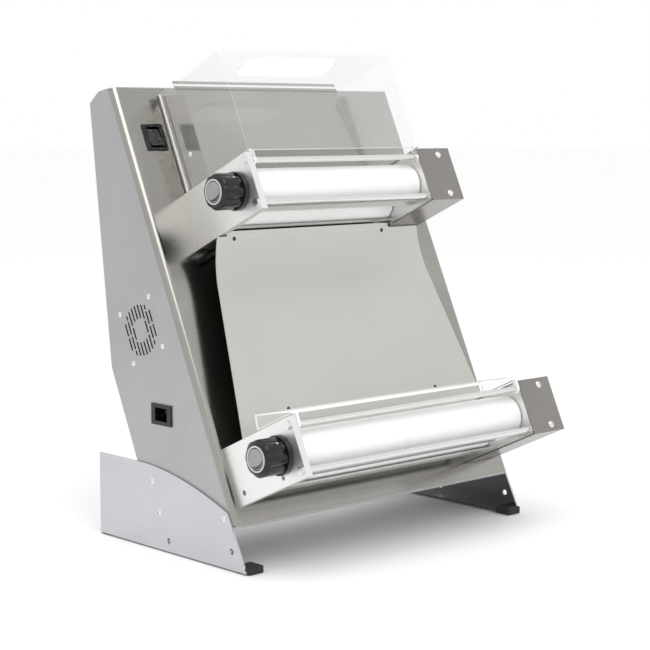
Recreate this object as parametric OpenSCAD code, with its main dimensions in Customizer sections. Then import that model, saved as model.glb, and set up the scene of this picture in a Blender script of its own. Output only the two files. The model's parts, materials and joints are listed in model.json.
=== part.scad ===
// Bench-top dough sheeter with two pairs of rollers.
// The casing leans back by `tilt`, and everything on its face is placed in face
// coordinates: X across the face, `u` up along it and `n` out of it.

/* [Casing] */
// Width of the casing
body_w = 530; // [500:1:640]
// Length of the front face, measured up along it
face_len = 626; // [600:1:760]
// Angle that the face leans back from vertical
tilt = 24.7; // [20:0.1:28]
// Height of the casing's lower front edge above the bench
base_z = 58; // [50:1:80]
// Depth of the casing behind the lower part of the face
case_depth = 170; // [160:1:200]
// Thickness of the casing sheet
sheet = 2; // [1.5:0.1:2.5]
// Outer radius of the bends at the two front edges
edge_r = 10; // [6:0.5:14]
// Depth of the flat top behind the face
top_depth = 32; // [28:1:40]
// Fall of the flat top towards the back
top_drop = 6; // [3:1:9]
// Depth of the bevel at the back of the top
bevel_depth = 20; // [15:1:24]
// Height of the bevel at the back of the top
bevel_drop = 16; // [12:1:20]
// Place of the bend in the back cover, measured up along the face
bend_u = 279; // [250:1:300]

/* [Stands] */
// Thickness of the two stand plates
stand_t = 3; // [2:0.5:5]
// Length of a stand along the bench
stand_len = 318; // [300:1:340]
// Distance of a stand's front tip before the casing's lower front edge
stand_lead = 19; // [10:1:30]
// Height of a stand at its back end
stand_h = 117; // [105:1:130]
// Width of the flange along the bottom of a stand
flange_w = 26; // [22:1:34]
// Thickness of the rubber under a flange
foot_h = 2; // [1.5:0.5:4]
// Length of a rubber shoe
shoe_len = 26; // [20:1:34]
// Height of a rubber shoe
shoe_h = 10; // [8:0.5:12]

/* [Roller heads] */
// Length of the upper rollers' channel between its cheeks
upper_len = 310; // [280:1:340]
// Length of the lower rollers' channel between its cheeks
lower_len = 421; // [400:1:430]
// Height of the upper rollers' axes along the face
upper_u = 425; // [400:1:440]
// Height of the lower rollers' axes along the face
lower_u = 66.5; // [60:0.5:80]
// Height of a roller head
head_h = 80; // [76:1:84]
// Distance that a roller head stands out of the face
head_d = 146; // [144:1:156]
// Thickness of the cheeks that carry the rollers
cheek_t = 10; // [9:0.5:12]
// Outer width of the gear arm at the right of each channel
arm_w = 65; // [60:1:70]
// Thickness of the arm's cover sheet
cover_t = 2; // [1.5:0.1:2.5]
// Thickness of the arm's outer bearing plate
plate_t = 6; // [5:0.5:8]
// Radius of a roller
roller_r = 29.5; // [28:0.1:29.8]
// Gap between the two rollers of a pair when they are closed
nip = 1; // [0.6:0.1:2]
// Distance of the rear roller's axis from the face
rear_n = 46; // [44:0.5:48]
// Travel of the front roller away from the rear roller
gap_travel = 4; // [2:0.5:5]
// Radius of the roller shafts
shaft_r = 8; // [7:0.5:9]
// Running clearance on the radius of every shaft and pivot
run_fit = 0.05; // [0.02:0.01:0.1]
// Clearance between pieces that slide past each other
slide_fit = 0.3; // [0.2:0.05:0.4]
// Radius of the tie rods at the front of each head
rod_r = 4; // [3:0.5:5]
// Distance of a tie rod from the roller axis, up or down
rod_off = 30; // [28:0.5:31]

/* [Gears] */
// Teeth on the drive gear
drive_teeth = 12; // [10:2:14]
// Width of the gears
gear_w = 16; // [12:1:20]
// Radius of the belt pulleys
pulley_r = 24; // [20:1:25]
// Width of the drive belt
belt_w = 12; // [10:1:14]
// Thickness of the drive belt
belt_t = 4; // [3:0.5:5]

/* [Knobs] */
// Radius of a knob's skirt
skirt_r = 26; // [24:0.5:28]
// Radius of a knob's grip
grip_r = 24.5; // [22:0.5:25.5]
// Length of a knob
knob_len = 40; // [36:1:46]

/* [Guards] */
// Thickness of the clear guards
guard_t = 3; // [2.5:0.5:4]
// Height of the upper guard above its head
guard_h = 147; // [135:1:152]
// Length of the feed slot in the upper guard
feed_len = 170; // [150:1:200]
// Width of the feed slot in the upper guard
feed_w = 52; // [44:1:56]
// Distance of the lower guard's back edge from the face
low_guard_n = 75; // [70:1:82]
// Rise of the lower guard towards its back edge
low_guard_rise = 18; // [12:1:22]

/* [Chute and hopper] */
// Distance of the chute from the face
chute_n = 30; // [26:1:34]
// Width of the chute at its lower edge
chute_low_w = 466; // [450:1:480]
// Width of the chute at its upper edge
chute_top_w = 382; // [360:1:400]
// Radius of the forward curve at the top of the chute
chute_r = 153; // [130:1:180]
// Thickness of the chute and hopper sheet
pan_t = 1.5; // [1.2:0.1:2]
// Depth of the hopper's side walls
hopper_d = 46; // [40:1:50]

/* [Fan, inlet and switch] */
// Side of the square cooling fan
fan_size = 80; // [76:1:84]
// Distance between the fan's screws
fan_pitch = 71.5; // [70:0.5:73]
// Place of the fan up along the face
fan_u = 303; // [290:1:320]
// Depth of the fan's axis behind the face
fan_n = 84; // [78:1:90]
// Width of the power inlet
inlet_w = 43; // [38:1:48]
// Height of the power inlet
inlet_h = 29; // [27:1:31]
// Width of the switch bezel
switch_w = 35; // [32:1:38]
// Height of the switch bezel
switch_h = 39; // [36:1:42]

/* [Hidden] */
$fn = 64;

half_w = body_w / 2;
touch = 0.01;

// Corners of the casing's side outline, as [y, z] before the part is centred
p_front = [0, base_z];
p_top = p_front + face_len * [sin(tilt), cos(tilt)];
p_bevel = p_top + [top_depth, -top_drop];
p_back = p_bevel + [bevel_depth, -bevel_drop];
p_bend = p_front + [
    bend_u * sin(tilt) + case_depth * cos(tilt),
    bend_u * cos(tilt) - case_depth * sin(tilt)
];
p_rear = p_front + [case_depth / cos(tilt), 0];
outline = [p_front, p_top, p_bevel, p_back, p_bend, p_rear];

// Face coordinates [u, n] of a point given as [y, z]
function face_of(p) = [
    p.x * sin(tilt) + (p.y - base_z) * cos(tilt),
    -p.x * cos(tilt) + (p.y - base_z) * sin(tilt)
];
// Point [y, z] of a place given in face coordinates
function side_of(u, n) = [
    u * sin(tilt) - n * cos(tilt),
    base_z + u * cos(tilt) + n * sin(tilt)
];
function unit(v) = v / norm(v);
// Inward normal of the side from a to b, for an outline that runs clockwise
function inward(a, b) = [unit(b - a).y, -unit(b - a).x];
// Corner moved inward by d, where the sides from a and to c meet at b
function inset_at(a, b, c, d) =
    let (n1 = inward(a, b), n2 = inward(b, c))
    b + d * (n1 + n2) / (1 + n1 * n2);
function inset(pts, d) = [
    for (i = [0:len(pts) - 1])
        inset_at(pts[(i + len(pts) - 1) % len(pts)], pts[i], pts[(i + 1) % len(pts)], d)
];
inner = inset(outline, sheet);
cover_lip = side_of(face_of(inner[1]).x, 0);
base_lip = side_of(face_of(inner[0]).x, 0);

// Stands and the part's reach along Y
stand_front = -stand_lead;
stand_back = stand_front + stand_len;

// Roller heads
upper_x0 = -upper_len / 2 - 30;
lower_x0 = -lower_len / 2 - 32;
front_n = rear_n + 2 * roller_r + nip;
roller_teeth = 16;
gear_module = (front_n - rear_n) / roller_teeth;
idler_n = rear_n - (front_n - rear_n);
drive_n = idler_n - gear_module * (roller_teeth + drive_teeth) / 2;
plate_back_n = drive_n - gear_module * (drive_teeth + 2) / 2 - 7;
rod_n = head_d - cover_t - 5;
gear_x = 14;
plate_x = cheek_t + gear_x + gear_w + 6;
block = 14;
skin_t = 3;
bush_r = shaft_r + 4;

// The belt runs in one plane, left of the gears of both heads
belt_x = upper_x0 + upper_len - belt_w / 2 - 4;

// Chute
chute_low_u = lower_u + head_h / 2 + 1.5;
chute_top_u = upper_u - head_h / 2 - 1.5;
chute_bend_u = chute_top_u - chute_r * 0.44;
chute_x = -8;
chute_lip_u = upper_u - roller_r - 6;
post_low_u = chute_low_u + 32;
post_angle = 25;
post_top_u = chute_bend_u + chute_r * sin(post_angle);

// Upper guard and hopper
hopper_low_u = upper_u + head_h / 2 + 6;
hopper_top_u = face_len - 12;
guard_lift = 2.5;
guard_top_n = 36;

// Reach of the part along X and Y, which centres it on its own origin
screw_h = 2.6;
cap_lift = 0.4;
reach_left = lower_x0 - cheek_t - slide_fit - knob_len - cap_lift;
reach_right = half_w + stand_t + screw_h;
reach_front = side_of(lower_u - head_h / 2, head_d).x;
reach_back = p_back.x;
centre = [-(reach_left + reach_right) / 2, -(reach_front + reach_back) / 2, 0];

// ---- helpers ----
module placed() {
    translate(centre) children();
}
// Face frame: local Y points into the casing (y = -n) and local Z is u
module on_face() {
    placed() translate([0, 0, base_z]) rotate([-tilt, 0, 0]) children();
}
// Extrudes a [y, z] outline along X from x0 to x1
module prism(x0, x1) {
    placed() translate([x0, 0, 0]) rotate([90, 0, 90]) linear_extrude(x1 - x0) children();
}
// Cylinder along X at face place u, n
module rod_x(x0, x1, u, n, r) {
    translate([x0, -n, u]) rotate([0, 90, 0]) cylinder(h = x1 - x0, r = r);
}
// Box between two X, two u and two n values
module slab(x0, x1, u0, u1, n0, n1) {
    translate([x0, -n1, u0]) cube([x1 - x0, n1 - n0, u1 - u0]);
}
// Casing plan in face coordinates, with rounded front edges
module casing_plan(in) {
    r = edge_r - in;
    w = half_w - in;
    translate([-w + r, in]) square([2 * (w - r), 2 * case_depth]);
    translate([-w, edge_r]) square([2 * w, 2 * case_depth]);
    for (s = [-1, 1]) translate([s * (w - r), edge_r]) circle(r = r);
}
module casing_mask() {
    on_face() translate([0, 0, -face_len]) linear_extrude(3 * face_len) casing_plan(0);
}
// Everything below the height z
module below(z) {
    placed() translate([-body_w, -body_w, z - body_w]) cube([2 * body_w, 2 * body_w, body_w]);
}
// Domed screw head on a surface whose outside is +Z
module dome_screw(r, h, shank, len) {
    intersection() {
        cylinder(h = h, r = r);
        translate([0, 0, h - 1.6 * r]) sphere(r = 1.6 * r);
    }
    translate([0, 0, -len]) cylinder(h = len, r = shank);
}
// Gear in the XY plane, with a tooth or a gap along +X
module gear_2d(teeth, gap_first) {
    m = gear_module;
    root = m * teeth / 2 - 1.15 * m;
    tip = m * teeth / 2 + 0.85 * m;
    pitch = 360 / teeth;
    start = gap_first ? pitch / 2 : 0;
    polygon([
        for (i = [0:teeth - 1], c = [[root, -0.24], [tip, -0.1], [tip, 0.1], [root, 0.24]])
            c[0] * [cos(start + (i + c[1]) * pitch), sin(start + (i + c[1]) * pitch)]
    ]);
}
module gear(x0, u, n, teeth, gap_first, bore) {
    translate([x0, -n, u]) rotate([90, 0, 90]) difference() {
        linear_extrude(gear_w) gear_2d(teeth, gap_first);
        translate([0, 0, -1]) cylinder(h = gear_w + 2, r = bore);
    }
}

// ---- casing ----
module front_window(x0, u) {
    slab(x0 - slide_fit, x0 + arm_w - cover_t + slide_fit,
        u - head_h / 2 - slide_fit, u + head_h / 2 + slide_fit, -edge_r, 1);
}
switch_x = -half_w + 48;
switch_u = 550.5;
switch_cut = [switch_w - 6, switch_h - 6];

module front_panel() {
    color("lightgray") difference() {
        on_face() translate([0, 0, face_of(inner[0]).x])
            linear_extrude(face_of(inner[1]).x - face_of(inner[0]).x) difference() {
                casing_plan(0);
                casing_plan(sheet);
                translate([-half_w - 1, edge_r]) square([body_w + 2, 3 * case_depth]);
            }
        on_face() {
            front_window(upper_x0 + upper_len, upper_u);
            front_window(lower_x0 + lower_len, lower_u);
            slab(switch_x - switch_cut.x / 2, switch_x + switch_cut.x / 2,
                switch_u - switch_cut.y / 2, switch_u + switch_cut.y / 2, -edge_r, 1);
        }
        below(base_z + sheet);
    }
}

// Side outline behind the rounded front edge
top_step = edge_r / (top_depth * cos(tilt) + top_drop * sin(tilt));
side_outline = [
    p_front + [edge_r / cos(tilt), 0],
    p_top + top_step * [top_depth, -top_drop],
    p_bevel, p_back, p_bend, p_rear
];
inlet_at = [157.8, 187.4];
slot_w = 3;
// Upright block on the left side, centred on the power inlet
module inlet_block(x0, x1, w, h) {
    placed() translate([x0, inlet_at.x - w / 2, inlet_at.y - h / 2]) cube([x1 - x0, w, h]);
}

// Slots of the fan grille: a ring of upright slots, each row given as [n, low, high]
slot_rows = [
    [0, 16, 35], [7.4, 15, 34], [14.8, -8.5, 8.5], [14.8, 11.5, 31.5],
    [22.2, 1.5, 19.5], [22.2, 22, 28.5], [29.6, 1.5, 19]
];
module fan_slots() {
    for (row = slot_rows, a = [-1, 1], b = [-1, 1])
        if ((row.x > 0 || a > 0) && (row.y > 0 || b > 0))
            slab(-half_w - 1, -half_w + sheet + 1,
                fan_u + (b > 0 ? row.y : -row.z), fan_u + (b > 0 ? row.z : -row.y),
                -fan_n + a * row.x - slot_w / 2, -fan_n + a * row.x + slot_w / 2);
}
module left_panel() {
    color("silver") difference() {
        prism(-half_w, -half_w + sheet) polygon(side_outline);
        on_face() {
            fan_slots();
            for (a = [-1, 1], b = [-1, 1])
                rod_x(-half_w - 1, -half_w + sheet + 1, fan_u + a * fan_pitch / 2,
                    -fan_n + b * fan_pitch / 2, 2.1);
        }
        inlet_block(-half_w - 1, -half_w + sheet + 1, inlet_w - 6, inlet_h - 6);
        stand_holes(-half_w - 1, -half_w + sheet + 1);
    }
}
module right_panel() {
    color("silver") difference() {
        prism(half_w - sheet, half_w) polygon(side_outline);
        stand_holes(half_w - sheet - 1, half_w + 1);
    }
}
module back_cover() {
    color("silver") intersection() {
        prism(-half_w + sheet, half_w - sheet) polygon([
            p_top, p_bevel, p_back, p_bend, p_rear,
            inner[5], inner[4], inner[3], inner[2], inner[1], cover_lip
        ]);
        casing_mask();
    }
}
module base_plate() {
    color("gray") intersection() {
        prism(-half_w + sheet, half_w - sheet)
            polygon([p_rear, p_front, base_lip, inner[0], inner[5]]);
        casing_mask();
    }
}

// ---- stands ----
// Places of a stand's screws and open holes, as [y, z]
stand_screw_at = [[178, stand_h - 23], [162, 53], [26.5, 66.5]];
stand_hole_at = [[141, 17], [9, 26.5]];
// The curved top edge starts level and falls to the face line
stand_curve_y = 205;
stand_tip = [18, stand_h - 41];
curve_n = 14;
function stand_top(t) = [
    stand_curve_y + (stand_tip.x - stand_curve_y) * t,
    stand_h + (stand_tip.y - stand_h) * pow(t, 1.8)
];
stand_outline = concat(
    [[stand_back, foot_h], [stand_back, stand_h]],
    [for (i = [0:curve_n]) stand_top(i / curve_n)],
    [[stand_front, foot_h]]
);
module stand_holes(x0, x1) {
    for (p = stand_screw_at)
        placed() translate([x0, p.x, p.y]) rotate([0, 90, 0]) cylinder(h = x1 - x0, r = 2.6);
}
module stand(side) {
    x_in = side < 0 ? -half_w - stand_t : half_w;
    flange_x = side < 0 ? -half_w - stand_t : half_w + stand_t - flange_w;
    color("gray") difference() {
        union() {
            prism(x_in, x_in + stand_t) polygon(stand_outline);
            placed() translate([flange_x, stand_front, foot_h])
                cube([flange_w, stand_len, stand_t]);
        }
        stand_holes(x_in - 1, x_in + stand_t + 1);
        for (p = stand_hole_at)
            placed() translate([x_in - 1, p.x, p.y]) rotate([0, 90, 0])
                cylinder(h = stand_t + 2, r = 4);
    }
}
module left_stand() {
    stand(-1);
}
module right_stand() {
    stand(1);
}
// Rubber shoes pushed over the ends of the flanges
module stand_feet() {
    shoe_x = half_w + stand_t - flange_w - 2;
    color("black") placed()
        for (s = [-1, 1], y = [stand_front - 3, stand_back + 3 - shoe_len]) difference() {
            translate([s > 0 ? shoe_x : -half_w, y, 0])
                cube([half_w - shoe_x, shoe_len, shoe_h]);
            translate([s > 0 ? shoe_x + 2 : -half_w - stand_t, stand_front, foot_h])
                cube([flange_w, stand_len, stand_t]);
        }
}

// ---- screws that hold stands, fan, hopper and chute ----
module panel_screws() {
    color("silver") {
        for (p = stand_screw_at) {
            placed() translate([-half_w - stand_t, p.x, p.y]) rotate([0, -90, 0])
                dome_screw(5, screw_h, 2.4, stand_t + sheet + 3);
            placed() translate([half_w + stand_t, p.x, p.y]) rotate([0, 90, 0])
                dome_screw(5, screw_h, 2.4, stand_t + sheet + 3);
        }
        for (a = [-1, 1], b = [-1, 1])
            on_face() translate([-half_w, fan_n - b * fan_pitch / 2, fan_u + a * fan_pitch / 2])
                rotate([0, -90, 0]) dome_screw(4, 2, 1.9, sheet + 10);
        for (x = post_low_x)
            on_face() translate([x, -chute_n - pan_t, post_low_u]) rotate([90, 0, 0])
                dome_screw(3, 1.2, 1.4, 6);
        for (x = post_top_x)
            at_curve(x) rotate([180, 0, 0]) translate([0, 0, pan_t + 0.06])
                dome_screw(3, 1.2, 1.4, 6);
        on_face() translate([hopper_x0, -hopper_pivot_n, hopper_pivot_u])
            rotate([0, -90, 0]) dome_screw(4.5, 2.6, 2, 6);
        on_face() translate([hopper_x1, -hopper_pivot_n, hopper_pivot_u])
            rotate([0, 90, 0]) dome_screw(4.5, 2.6, 2, 6);
    }
}

// ---- fan ----
fan_depth = 25;
module fan_frame() {
    x0 = -half_w + sheet;
    spider_x = x0 + fan_depth - 4.5;
    color("black") on_face() difference() {
        union() {
            difference() {
                slab(x0, x0 + fan_depth, fan_u - fan_size / 2, fan_u + fan_size / 2,
                    -fan_n - fan_size / 2, -fan_n + fan_size / 2);
                rod_x(x0 - 1, x0 + fan_depth + 1, fan_u, -fan_n, fan_size / 2 - 2);
            }
            rod_x(spider_x - 0.3, spider_x + 4.2, fan_u, -fan_n, 15);
            for (a = [0, 120, 240])
                translate([spider_x, fan_n, fan_u]) rotate([a, 0, 0])
                    translate([0, -3, 10]) cube([4, 6, fan_size / 2 - 11]);
            rod_x(x0 + 4, spider_x + 2, fan_u, -fan_n, 3);
        }
        for (a = [-1, 1], b = [-1, 1])
            rod_x(x0 - 1, x0 + fan_depth + 1, fan_u + a * fan_pitch / 2,
                -fan_n + b * fan_pitch / 2, 2);
    }
}
module fan_rotor() {
    x0 = -half_w + sheet + 3;
    color("dimgray") on_face() difference() {
        union() {
            rod_x(x0, x0 + 16, fan_u, -fan_n, 14);
            for (a = [0:51.43:350])
                translate([x0 + 2, fan_n, fan_u]) rotate([a, 0, 0]) translate([0, 0, 12])
                    rotate([0, 0, 35]) translate([0, -1, 0]) cube([14, 2, fan_size / 2 - 16]);
        }
        rod_x(x0 + 1, x0 + 17, fan_u, -fan_n, 3 + run_fit);
    }
}

// ---- power inlet and switch ----
module power_inlet() {
    x0 = -half_w;
    color("black") {
        difference() {
            union() {
                inlet_block(x0 - 2, x0, inlet_w, inlet_h);
                inlet_block(x0 - touch, x0 + 24, inlet_w - 6.4, inlet_h - 6.4);
            }
            inlet_block(x0 - 3, x0 + 17, inlet_w - 17, inlet_h - 11);
        }
        // Three flat pins
        for (p = [[0, 3], [-8, -3], [8, -3]])
            placed() translate([x0 + 6, inlet_at.x + p.x - 1, inlet_at.y + p.y - 2])
                cube([12, 2, 4]);
    }
}
rocker_gap = 0.5;
rocker_end = 1.6;
rocker_pin_n = -3;
rocker_w = switch_w - 14;
rocker_h = switch_h - 12;
module switch_bezel() {
    color("black") on_face() difference() {
        union() {
            slab(switch_x - switch_w / 2, switch_x + switch_w / 2, switch_u - switch_h / 2,
                switch_u + switch_h / 2, 0, 2);
            slab(switch_x - switch_cut.x / 2, switch_x + switch_cut.x / 2,
                switch_u - switch_cut.y / 2, switch_u + switch_cut.y / 2, -24, touch);
        }
        slab(switch_x - rocker_w / 2 - rocker_gap, switch_x + rocker_w / 2 + rocker_gap,
            switch_u - rocker_h / 2 - rocker_end, switch_u + rocker_h / 2 + rocker_end,
            -18, 3);
        rod_x(switch_x - switch_cut.x / 2 + 1, switch_x + switch_cut.x / 2 - 1,
            switch_u, rocker_pin_n, 1.5 + run_fit);
    }
}
// Shallow V-shaped rocker, with its pin along X
module switch_rocker() {
    h = rocker_h / 2;
    color("whitesmoke") on_face() {
        translate([switch_x - rocker_w / 2, 0, switch_u]) rotate([90, 0, 90])
            linear_extrude(rocker_w) polygon([
                [-3.4, -h + 0.6], [-1.2, 0], [1, h - 0.4], [4, h - 1.5],
                [9, 4], [12, 0], [9, -4], [2, -h + 0.9]
            ]);
        rod_x(switch_x - switch_cut.x / 2 + 1.3, switch_x + switch_cut.x / 2 - 1.3,
            switch_u, rocker_pin_n, 1.5);
    }
}

// ---- hopper ----
hopper_x0 = upper_x0 + 2;
hopper_x1 = upper_x0 + upper_len - 2;
hopper_pivot_u = 515;
hopper_pivot_n = 21;
hopper_plate_n = [44, 30];
module hopper_wall(x) {
    // Side wall with a level top edge
    top = [
        side_of(hopper_low_u, 0), side_of(hopper_low_u, hopper_d),
        side_of(hopper_top_u - hopper_d * tan(tilt) + 1, hopper_d), side_of(hopper_top_u, 0)
    ];
    prism(x, x + pan_t) polygon(top);
}
module hopper_pan() {
    color("lightgray") difference() {
        union() {
            hopper_wall(hopper_x0);
            hopper_wall(hopper_x1 - pan_t);
            // Sloping plate that turns the dough into the rollers
            prism(hopper_x0, hopper_x1) polygon([
                side_of(hopper_low_u, hopper_plate_n[0]),
                side_of(face_len - 4, hopper_plate_n[1]),
                side_of(face_len - 4, hopper_plate_n[1] - pan_t),
                side_of(hopper_low_u, hopper_plate_n[0] - pan_t)
            ]);
        }
        on_face() rod_x(hopper_x0 - 1, hopper_x1 + 1, hopper_pivot_u, hopper_pivot_n, 2.1);
    }
}

// ---- chute ----
// Posts along X, as [from the chute's middle at the bottom, from the channel's at the top]
post_low_x = [chute_x - 142, chute_x + 142];
post_top_x = [upper_x0 + upper_len / 2 - 140, upper_x0 + upper_len / 2 + 140];
lip_x = [upper_x0 + 2, upper_x0 + upper_len - 2];
chute_steps = 10;
chute_sweep = 31;
// One side of the chute's section, set back d from its front, as [y, z] in the face frame
function chute_side(d) = [
    [-chute_n - pan_t + d, chute_low_u],
    for (i = [0:chute_steps]) let (a = chute_sweep * i / chute_steps) [
        -chute_n - chute_r + (chute_r - pan_t + d) * cos(a),
        chute_bend_u + (chute_r - pan_t + d) * sin(a)
    ]
];
function reversed(list) = [for (i = [len(list) - 1:-1:0]) list[i]];
// Frame on the back of the chute's curve, with +Z away from the curve's centre
module at_curve(x) {
    on_face() translate([x, -chute_n - chute_r, chute_bend_u])
        rotate([post_angle - 90, 0, 0]) translate([0, 0, chute_r]) children();
}
module chute() {
    color("gainsboro") difference() {
        on_face() intersection() {
            translate([-half_w, 0, 0]) rotate([90, 0, 90]) linear_extrude(body_w)
                polygon(concat(chute_side(0), reversed(chute_side(pan_t))));
            translate([0, case_depth, 0]) rotate([90, 0, 0]) linear_extrude(3 * case_depth)
                polygon([
                    [chute_x - chute_low_w / 2, chute_low_u],
                    [chute_x - chute_top_w / 2, chute_top_u], [lip_x[0], chute_top_u],
                    [lip_x[0], chute_lip_u], [lip_x[1], chute_lip_u],
                    [lip_x[1], chute_top_u], [chute_x + chute_top_w / 2, chute_top_u],
                    [chute_x + chute_low_w / 2, chute_low_u]
                ]);
        }
        for (x = post_low_x)
            on_face() translate([x, 0, post_low_u]) rotate([90, 0, 0])
                cylinder(h = 3 * chute_n, r = 1.5);
        for (x = post_top_x) at_curve(x) translate([0, 0, -10]) cylinder(h = 20, r = 1.5);
    }
}
// Posts that hold the chute off the face
module chute_posts() {
    color("silver") {
        for (x = post_low_x)
            on_face() translate([x, 0, post_low_u]) rotate([90, 0, 0]) difference() {
                cylinder(h = chute_n, r = 6);
                translate([0, 0, 5]) cylinder(h = chute_n, r = 1.5);
            }
        for (x = post_top_x) difference() {
            on_face() translate([x, 0, post_top_u - 3]) rotate([90, 0, 0])
                cylinder(h = 1.7 * chute_n, r = 6);
            on_face() translate([-half_w, 0, 0]) rotate([90, 0, 90]) linear_extrude(body_w)
                polygon(concat(chute_side(pan_t), [[-chute_n - chute_r, chute_low_u]]));
            at_curve(x) translate([0, 0, -1]) cylinder(h = 12, r = 1.5);
        }
    }
}

// ---- motor, gearbox and belt ----
motor_r = 54;
motor_len = 190;
box_half = 35;
box_x1 = belt_x - belt_w / 2 - 8;
box_x0 = box_x1 - 76;
motor_x0 = box_x0 - motor_len;
motor_u = lower_u + 42;
motor_n = min(drive_n - 23.5, -motor_r - 16 - sheet);
motor_at = side_of(motor_u, motor_n);
foot_w = 60;
module motor() {
    color("steelblue") {
        on_face() {
            rod_x(motor_x0, box_x0, motor_u, motor_n, motor_r);
            rod_x(motor_x0 - 24, motor_x0, motor_u, motor_n, motor_r - 4);
            slab(motor_x0 + 50, motor_x0 + 130, motor_u - 30, motor_u + 30,
                motor_n + motor_r - 16, motor_n + motor_r + 14);
        }
        // Foot that carries the motor on the base plate
        placed() translate([motor_x0 + 20, motor_at.x - foot_w / 2, base_z + sheet])
            cube([motor_len - 40, foot_w, motor_at.y - base_z - sheet]);
    }
}
module gearbox() {
    color("dimgray") on_face() difference() {
        union() {
            slab(box_x0, box_x1, motor_u - box_half, motor_u + box_half,
                motor_n - box_half, motor_n + box_half);
            rod_x(box_x0, box_x1, lower_u, drive_n, 28);
        }
        rod_x(box_x1 - 30, box_x1 + 1, lower_u, drive_n, shaft_r + run_fit);
    }
}
module drive_belt() {
    r = pulley_r + slide_fit;
    color("black") on_face() translate([belt_x - belt_w / 2, -drive_n, 0])
        rotate([90, 0, 90]) linear_extrude(belt_w) difference() {
            union() {
                translate([0, lower_u]) circle(r = r + belt_t);
                translate([0, upper_u]) circle(r = r + belt_t);
                translate([-r - belt_t, lower_u])
                    square([2 * (r + belt_t), upper_u - lower_u]);
            }
            translate([0, lower_u]) circle(r = r);
            translate([0, upper_u]) circle(r = r);
            translate([-r, lower_u]) square([2 * r, upper_u - lower_u]);
        }
}

// ---- roller heads: x0 and x1 are the channel's two ends, c its axis along the face ----
heads = [
    [upper_x0, upper_x0 + upper_len, upper_u],
    [lower_x0, lower_x0 + lower_len, lower_u]
];
cheek_front = head_d - cover_t;
rods_u = [-rod_off, rod_off];
axle_r = 6;
slide_lo = front_n - block - slide_fit;
slide_hi = front_n + block + gap_travel + slide_fit;
module left_cheek(h, holes) {
    x0 = h[0];
    c = h[2];
    color("whitesmoke") on_face() difference() {
        slab(x0 - cheek_t, x0, c - head_h / 2, c + head_h / 2, 0, cheek_front);
        slab(x0 - cheek_t + skin_t, x0 + 1, c - block - slide_fit, c + block + slide_fit,
            slide_lo, slide_hi);
        rod_x(x0 - cheek_t - 1, x0, c, front_n, shaft_r + run_fit);
        rod_x(x0 - cheek_t + skin_t, x0 + 1, c, rear_n, bush_r);
        for (d = rods_u) rod_x(x0 - cheek_t - 1, x0 + 1, c + d, rod_n, rod_r);
        for (p = holes) rod_x(x0 - cheek_t - 1, x0 + 1, c + p.x, p.y, 3.5);
    }
}
module gear_plate(h, from, thick, n_end) {
    x0 = h[1] + from;
    c = h[2];
    difference() {
        on_face() difference() {
            slab(x0, x0 + thick, c - head_h / 2 + cover_t, c + head_h / 2 - cover_t,
                plate_back_n, n_end);
            slab(x0 - 1, x0 + thick + 1, c - block - slide_fit, c + block + slide_fit,
                slide_lo, slide_hi);
            rod_x(x0 - 1, x0 + thick + 1, c, rear_n, bush_r);
            rod_x(x0 - 1, x0 + thick + 1, c, drive_n, bush_r);
            rod_x(x0 - 1, x0 + thick + 1, c, idler_n, axle_r);
            for (d = rods_u) rod_x(x0 - 1, x0 + thick + 1, c + d, rod_n, rod_r);
        }
        below(base_z + sheet + slide_fit);
    }
}
module inner_cheek(h) {
    color("whitesmoke") gear_plate(h, 0, cheek_t, cheek_front);
}
module bearing_plate(h) {
    color("silver") gear_plate(h, plate_x, plate_t, cheek_front);
}
module arm_cover(h) {
    x1 = h[1];
    c = h[2];
    lo = c - head_h / 2;
    hi = c + head_h / 2;
    color("gray") on_face() difference() {
        slab(x1, x1 + arm_w, lo, hi, 0, head_d);
        slab(x1 - 1, x1 + arm_w - cover_t, lo + cover_t, hi - cover_t, -1, cheek_front);
        for (d = rods_u) translate([x1 + arm_screw_x, 1 - head_d, c + d])
            rotate([90, 0, 0]) translate([0, 0, -4]) cylinder(h = 8, r = 2.1);
    }
}
arm_screw_x = 41;
module arm_screws() {
    color("silver") on_face() for (h = heads, d = rods_u)
        translate([h[1] + arm_screw_x, -head_d, h[2] + d]) rotate([90, 0, 0])
            dome_screw(5, screw_h, 2, cover_t + 0.8);
}
nut_h = 5;
module tie_rods() {
    color("silver") on_face() for (h = heads, d = rods_u) {
        rod_x(h[0] - cheek_t, h[1] + plate_x + plate_t, h[2] + d, rod_n, rod_r);
        translate([h[0] - cheek_t, -rod_n, h[2] + d]) rotate([0, -90, 0])
            cylinder(h = nut_h, r = 6, $fn = 6);
    }
}
module scrapers() {
    color("silver") on_face() for (h = heads, n = [[36, 56], [116, 132]])
        slab(h[0], h[1], h[2] - roller_r - 4.5, h[2] - roller_r - 1.5, n[0], n[1]);
}
module bush(x0, len, u, n) {
    translate([x0, -n, u]) rotate([0, 90, 0]) difference() {
        cylinder(h = len, r = bush_r);
        translate([0, 0, -1]) cylinder(h = len + 2, r = shaft_r + run_fit);
    }
}
module bushes() {
    color("goldenrod") on_face() for (h = heads) {
        bush(h[0] - cheek_t + skin_t, cheek_t - skin_t, h[2], rear_n);
        for (n = [rear_n, drive_n]) {
            bush(h[1], cheek_t, h[2], n);
            bush(h[1] + plate_x, plate_t, h[2], n);
        }
        rod_x(h[1], h[1] + plate_x + plate_t, h[2], idler_n, axle_r);
    }
}
module slide_block(x0, len, c) {
    difference() {
        slab(x0, x0 + len, c - block, c + block, front_n - block, front_n + block);
        rod_x(x0 - 1, x0 + len + 1, c, front_n, shaft_r + run_fit);
    }
}
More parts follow.
